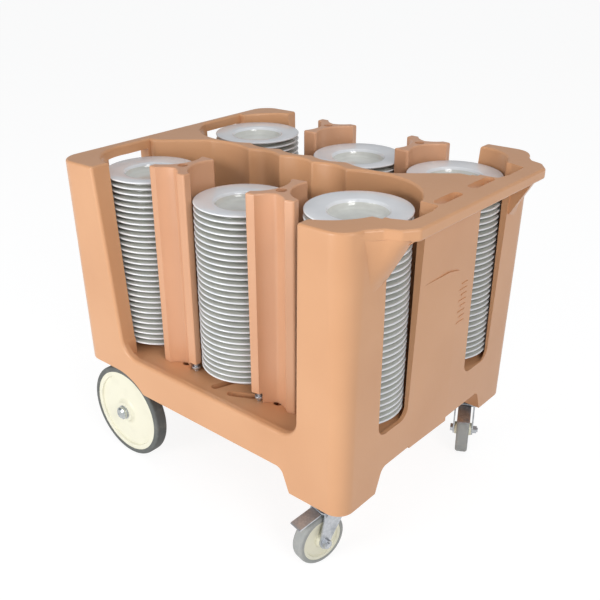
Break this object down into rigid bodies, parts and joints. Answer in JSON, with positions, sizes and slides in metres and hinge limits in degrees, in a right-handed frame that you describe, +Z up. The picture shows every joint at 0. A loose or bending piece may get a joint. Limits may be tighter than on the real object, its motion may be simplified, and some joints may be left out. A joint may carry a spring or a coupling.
{
  "type": "plate dispenser cart",
  "caption": "Moulded tan cart that holds stacks of plates between sliding towers, with a push bar, large rear wheels and braked swivel casters.",
  "frame": {"origin": "middle of the cart's bounding box in plan, on the floor that its wheels stand on", "axes": "+X towards the push bar, -Y towards the long side that the picture shows, +Z up"},
  "size_m": [0.9548, 0.7628, 0.8167],
  "materials": {
    "body": "moulded tan polyethylene, fine satin texture",
    "tower": "moulded tan polyethylene, fine satin texture",
    "plate": "white glaze, glossy",
    "rear_tyre": "dark grey rubber, matt",
    "caster_tyre": "light grey non-marking rubber, matt",
    "hub": "cream moulded plastic, satin",
    "bush": "dark acetal",
    "cap": "pale moulded cap",
    "steel": "bright zinc plating"
  },
  "bodies": {
    "cart": {"cart_body": "body", "rear_axle": "steel", "axle_bracket_bolts": "steel", "caster_plate_bolts": "steel", "rear_collar_near": "steel", "rear_washer_near": "steel", "axle_cap_near": "cap", "axle_bracket_near": "steel", "caster_plate_near": "steel", "caster_race_near": "steel", "caster_kingpin_near": "steel", "rear_collar_far": "steel", "rear_washer_far": "steel", "axle_cap_far": "cap", "axle_bracket_far": "steel", "caster_plate_far": "steel", "caster_race_far": "steel", "caster_kingpin_far": "steel"},
    "rear_wheel_near": {"rear_tyre_near": "rear_tyre", "rear_hub_near": "hub", "rear_bush_near": "bush"},
    "rear_wheel_far": {"rear_tyre_far": "rear_tyre", "rear_hub_far": "hub", "rear_bush_far": "bush"},
    "caster_swivel_near": {"caster_fork_near": "steel", "caster_axle_bolt_near": "steel", "caster_axle_nut_near": "steel", "caster_pedal_pin_near": "steel"},
    "caster_wheel_near": {"caster_tyre_near": "caster_tyre", "caster_hub_near": "hub", "caster_bush_near": "bush"},
    "brake_pedal_near": {"caster_brake_pedal_near": "steel"},
    "caster_swivel_far": {"caster_fork_far": "steel", "caster_axle_bolt_far": "steel", "caster_axle_nut_far": "steel", "caster_pedal_pin_far": "steel"},
    "caster_wheel_far": {"caster_tyre_far": "caster_tyre", "caster_hub_far": "hub", "caster_bush_far": "bush"},
    "brake_pedal_far": {"caster_brake_pedal_far": "steel"},
    "tower_slide_1": {"tower_1": "tower"},
    "tower_latch_1": {"tower_clamp_1": "steel"},
    "tower_slide_2": {"tower_2": "tower"},
    "tower_latch_2": {"tower_clamp_2": "steel"},
    "tower_slide_3": {"tower_3": "tower"},
    "tower_latch_3": {"tower_clamp_3": "steel"},
    "tower_slide_4": {"tower_4": "tower"},
    "tower_latch_4": {"tower_clamp_4": "steel"},
    "plates_1": {"plate_stack_1": "plate"},
    "plates_2": {"plate_stack_2": "plate"},
    "plates_3": {"plate_stack_3": "plate"},
    "plates_4": {"plate_stack_4": "plate"},
    "plates_5": {"plate_stack_5": "plate"},
    "plates_6": {"plate_stack_6": "plate"}
  },
  "joints": [
    {"name": "rear_wheel_spin_near", "type": "hinge", "parent": "cart", "child": "rear_wheel_near", "pos_m": [-0.3446, -0.30923, 0.127], "axis": [0, 1, 0], "continuous": true},
    {"name": "rear_wheel_spin_far", "type": "hinge", "parent": "cart", "child": "rear_wheel_far", "pos_m": [-0.3446, 0.34077, 0.127], "axis": [0, 1, 0], "continuous": true},
    {"name": "caster_swivel_turn_near", "type": "hinge", "parent": "cart", "child": "caster_swivel_near", "pos_m": [0.3174, -0.27523, 0.1438], "axis": [0, 0, 1], "continuous": true},
    {"name": "caster_wheel_spin_near", "type": "hinge", "parent": "caster_swivel_near", "child": "caster_wheel_near", "pos_m": [0.30867, -0.31427, 0.0625], "axis": [0.9759, -0.2181, 0], "continuous": true},
    {"name": "brake_pedal_press_near", "type": "hinge", "parent": "caster_swivel_near", "child": "brake_pedal_near", "pos_m": [0.30955, -0.31037, 0.134], "axis": [0.9759, -0.2181, 0], "range_deg": [0, 14]},
    {"name": "caster_swivel_turn_far", "type": "hinge", "parent": "cart", "child": "caster_swivel_far", "pos_m": [0.3174, 0.30677, 0.1438], "axis": [0, 0, 1], "continuous": true},
    {"name": "caster_wheel_spin_far", "type": "hinge", "parent": "caster_swivel_far", "child": "caster_wheel_far", "pos_m": [0.33593, 0.27132, 0.0625], "axis": [0.8862, 0.4633, 0], "continuous": true},
    {"name": "brake_pedal_press_far", "type": "hinge", "parent": "caster_swivel_far", "child": "brake_pedal_far", "pos_m": [0.33408, 0.27487, 0.134], "axis": [0.8862, 0.4633, 0], "range_deg": [0, 14]},
    {"name": "tower_adjust_1", "type": "slide", "parent": "cart", "child": "tower_slide_1", "axis": [0, -1, 0], "range_m": [0, 0.016]},
    {"name": "tower_latch_lift_1", "type": "slide", "parent": "tower_slide_1", "child": "tower_latch_1", "axis": [0, 0, 1], "range_m": [0, 0.008]},
    {"name": "tower_adjust_2", "type": "slide", "parent": "cart", "child": "tower_slide_2", "axis": [0.2079, -0.9781, 0], "range_m": [0, 0.016]},
    {"name": "tower_latch_lift_2", "type": "slide", "parent": "tower_slide_2", "child": "tower_latch_2", "axis": [0, 0, 1], "range_m": [0, 0.008]},
    {"name": "tower_adjust_3", "type": "slide", "parent": "cart", "child": "tower_slide_3", "axis": [-0.0349, 0.9994, 0], "range_m": [0, 0.016]},
    {"name": "tower_latch_lift_3", "type": "slide", "parent": "tower_slide_3", "child": "tower_latch_3", "axis": [0, 0, 1], "range_m": [0, 0.008]},
    {"name": "tower_adjust_4", "type": "slide", "parent": "cart", "child": "tower_slide_4", "axis": [0, 1, 0], "range_m": [0, 0.016]},
    {"name": "tower_latch_lift_4", "type": "slide", "parent": "tower_slide_4", "child": "tower_latch_4", "axis": [0, 0, 1], "range_m": [0, 0.008]},
    {"name": "plates_lift_1", "type": "slide", "parent": "cart", "child": "plates_1", "axis": [0, 0, 1], "range_m": [0, 0.52]},
    {"name": "plates_lift_2", "type": "slide", "parent": "cart", "child": "plates_2", "axis": [0, 0, 1], "range_m": [0, 0.52]},
    {"name": "plates_lift_3", "type": "slide", "parent": "cart", "child": "plates_3", "axis": [0, 0, 1], "range_m": [0, 0.52]},
    {"name": "plates_lift_4", "type": "slide", "parent": "cart", "child": "plates_4", "axis": [0, 0, 1], "range_m": [0, 0.52]},
    {"name": "plates_lift_5", "type": "slide", "parent": "cart", "child": "plates_5", "axis": [0, 0, 1], "range_m": [0, 0.52]},
    {"name": "plates_lift_6", "type": "slide", "parent": "cart", "child": "plates_6", "axis": [0, 0, 1], "range_m": [0, 0.52]}
  ]
}
